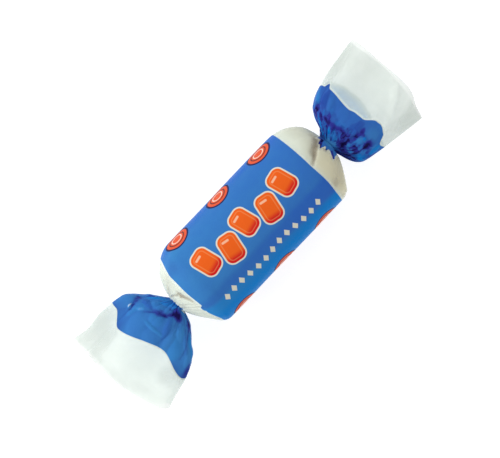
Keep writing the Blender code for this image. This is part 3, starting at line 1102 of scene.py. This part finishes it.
def film_material(name, stops, shadow, with_label):
    """The wrapper's film. Where it is printed it is opaque glossy blue, with painted light and
    shade, painted highlights and green painted reflections, and painted shade in its folds;
    elsewhere it is milky and lets light and what lies behind it through, with yellow painted as
    shade over the shoulder at +X, and goes over to the shadow's colour in its folds."""
    material, shader, place = fresh_material(name)
    ink, fold, tint, cyan, warm, crumple = (attribute(place, key) for key in Film._fields[1:])
    cloud = noise(place, 0.35, 3)
    grain = noise(place, 6.0, 2)
    # The blue's lightness: its tint, with painted light and shade, and random tone.
    shade = tint + (cloud - 0.5) * 0.18 + (grain - 0.5) * 0.10
    patches = noise(place, 0.9, 3)
    reflection_specks = noise(place, 1.6, 2)
    blue = ramp(shade, stops)
    # Green painted reflections, more of them in the crumple, and painted highlights where the blue
    # is lightest.
    blue = blend_colour(cyan + crumple * reflection_specks.step(0.53, 0.65) * 0.25, blue, CYAN_REFLECTION)
    blue = blend_colour(shade.step(0.93, 1.3), blue, HIGHLIGHT)
    # Painted shade, purple in folds and in patches of the crumple, near black in the deepest.
    fold_shade = fold + crumple * patches.step(0.48, 0.62) * 0.25
    blue = blend_colour(fold_shade.step(0.0, 0.95), blue, FOLD_SHADE_PURPLE)
    blue = blend_colour(fold_shade.step(0.85, 1.5), blue, FOLD_SHADE_DARK)
    if with_label:
        blue = label_print(place, blue)
    milky = ramp(cloud, MILKY_STOPS)
    # Yellow painted as shade over the shoulder at +X, and the shadow's colour painted in folds.
    milky = blend_colour(warm, milky, MILKY_WARM_SHADE)
    milky = blend_colour(fold.step(0.0, 1.0) * 0.7, milky, shadow)
    printed = (ink + (grain - 0.5) * 0.06).step(-0.05, 0.05)
    plug(shader, "Base Color", blend_colour(printed, milky, blue))
    alpha = printed * (1 - MILKY_ALPHA) + MILKY_ALPHA
    plug(shader, "Alpha", alpha)
    rough = noise(place, 1.2, 2).step(0.2, 0.8) * 0.12 + 0.30
    plug(shader, "Roughness", rough)
    plug(shader, "IOR", 1.45)
    plug(shader, "Specular IOR Level", FILM_GLOSS)
    crinkle = noise(place, 0.9, 4)
    bump(shader, crinkle * 0.05 + crumple * patches * 0.25, 1.0)
    return material


def inner_material():
    """The film's inner face, where the print shows pale through the film itself: its blue is
    lightened by painted light that stands for light shining through, with painted shade in its
    folds.
    """
    material, shader, place = fresh_material("film_inner_face")
    ink, fold = attribute(place, "ink"), attribute(place, "fold")
    cloud = noise(place, 0.35, 3)
    milky = ramp(cloud, MILKY_STOPS)
    # Painted shade of folds over the inner face's blue.
    inner = blend_colour(fold.step(0.2, 1.0) * 0.6, INNER_BLUE, FOLD_SHADE_PURPLE)
    plug(shader, "Base Color", blend_colour(ink.step(-0.3, 1.2), milky, inner))
    alpha = ink.step(-0.6, 0.0) * (1 - MILKY_ALPHA) + MILKY_ALPHA
    plug(shader, "Alpha", alpha)
    rough = cloud * 0.15 + 0.4
    plug(shader, "Roughness", rough)
    plug(shader, "Specular IOR Level", FILM_GLOSS)
    return material


def paper_material():
    """Thin waxed paper: warm cream with faint fibres, with yellow painted as shade over the
    shoulder at +X and brown shade painted in its creases.
    """
    material, shader, place = fresh_material("waxed_paper_looks")
    fold, warm = attribute(place, "fold"), attribute(place, "warm")
    cloud = noise(place, 0.25, 4)
    fibres = noise(place, 5.0, 3)
    base = ramp(cloud, PAPER_STOPS)
    # Yellow painted as shade, and brown painted shade in the creases.
    base = blend_colour(warm, base, PAPER_WARM_SHADE)
    base = blend_colour(fold.step(0.1, 0.9) * 0.8, base, PAPER_CREASE_SHADE)
    plug(shader, "Base Color", base)
    rough = fibres * 0.2 + 0.45
    plug(shader, "Roughness", rough)
    bump(shader, fibres, 0.04)
    return material


# Blues of the print on the label and on the tails, by tint from painted shade to painted light; the
# label's last stop is the bright blue of painted light at the necks.
LABEL_BLUE = (
    (0.0, colour(40, 84, 184)),
    (0.35, colour(51, 105, 192)),
    (0.48, colour(55, 115, 189)),
    (0.8, colour(64, 139, 197)),
    (0.9, colour(54, 128, 240)),
)
TWIST_BLUE = (
    (0.0, colour(36, 78, 166)),
    (0.4, colour(53, 110, 189)),
    (0.8, colour(66, 138, 203)),
    (0.9, colour(66, 141, 214)),
)
# A painted highlight, and the green of painted reflections.
HIGHLIGHT = colour(188, 212, 240)
CYAN_REFLECTION = colour(4, 126, 208)
# The print seen from inside, made pale by painted light shining through the film.
INNER_BLUE = colour(158, 210, 255)
# Painted shade of folds on the print, and of the deepest of them.
FOLD_SHADE_PURPLE = colour(47, 50, 144)
FOLD_SHADE_DARK = colour(26, 20, 78)
MILKY_STOPS = ((0.3, colour(237, 246, 239)), (0.7, colour(244, 252, 246)))
MILKY_ALPHA = 0.34
FILM_GLOSS = 0.025
ROLL_SHADOW = colour(150, 116, 58)
TAIL_SHADOW = colour(136, 150, 138)
PAPER_STOPS = ((0.3, colour(236, 236, 217)), (0.7, colour(247, 248, 232)))
# Yellow painted as shade over the shoulder at +X, on the paper and the bare film, and the brown
# shade painted in the paper's creases.
PAPER_WARM_SHADE = colour(244, 232, 192)
MILKY_WARM_SHADE = colour(240, 234, 206)
PAPER_CREASE_SHADE = colour(122, 92, 46)

# ---------- the pieces

film = film_grid()
label_film = film_material("printed_film_with_label", LABEL_BLUE, ROLL_SHADOW, with_label=True)
twist_film = film_material("printed_film_of_the_tails", TWIST_BLUE, TAIL_SHADOW, with_label=False)
inside = inner_material()
film_piece("film_tail_minus_x", film, slice(0, TAIL_ROWS + 1), twist_film, inside)
film_piece("film_sleeve", film, slice(TAIL_ROWS, -TAIL_ROWS), label_film, inside)
film_piece("film_tail_plus_x", film, slice(-TAIL_ROWS - 1, None), twist_film, inside)

paper = piece_from_grid("paper_liner", *paper_grid(film), closed=True)
paper.data.materials.append(paper_material())
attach(paper, "root")
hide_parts("liner")

# ---------- floor, light and camera

# In metres, from the candy's middle, but for the sensor. The square soft light at
# KEY_PLACE is turned towards the candy, and the camera looks straight down on it.
FLOOR_HALF = 2.0
FLOOR_DROP = 0.0001
KEY_PLACE = Vector((-0.22, 0.20, 0.24))
KEY_SIZE = 0.30
CAMERA_PLACE = (-0.00019, -0.00021, 0.200)
CAMERA_TURN = np.radians(-46.5)
VIEW_WIDTH = 0.095
SENSOR = 36.0

floor_mesh = bpy.data.meshes.new("floor")
corners = FLOOR_HALF * np.array([(-1, -1), (1, -1), (1, 1), (-1, 1)])
floor_mesh.from_pydata([(x, y, -FLOOR_DROP) for x, y in corners.tolist()], [], [(0, 1, 2, 3)])
floor = added("floor", floor_mesh)
floor_material, floor_shader, _ = fresh_material("floor_white")
plug(floor_shader, "Base Color", (0.5, 0.5, 0.5, 1))
plug(floor_shader, "Roughness", 0.9)
plug(floor_shader, "Specular IOR Level", 0.0)
plug(floor_shader, "Emission Color", (1, 1, 1, 1))
plug(floor_shader, "Emission Strength", 0.75)
floor.data.materials.append(floor_material)

world = bpy.data.worlds.new("soft_white_room")
world.use_nodes = True
background = world.node_tree.nodes["Background"]
plug(background, "Color", (1, 1, 1, 1))
plug(background, "Strength", 0.60)
bpy.context.scene.world = world

key = bpy.data.lights.new("key", "AREA")
key.shape = "SQUARE"
key.size = KEY_SIZE
key.energy = 0.9
lamp = added("key", key)
lamp.location = Vector((CENTRE * MM).tolist()) + KEY_PLACE
lamp.rotation_euler = (-KEY_PLACE).to_track_quat("-Z", "Y").to_euler()

bpy.context.scene.view_settings.view_transform = "Standard"

lens = bpy.data.cameras.new("camera")
lens.sensor_width = SENSOR
lens.lens = SENSOR * CAMERA_PLACE[2] / VIEW_WIDTH
lens.clip_start = 0.01
camera = added("camera", lens)
camera.location = (CENTRE * MM + CAMERA_PLACE).tolist()
camera.rotation_euler = (0, 0, CAMERA_TURN)
bpy.context.scene.camera = camera
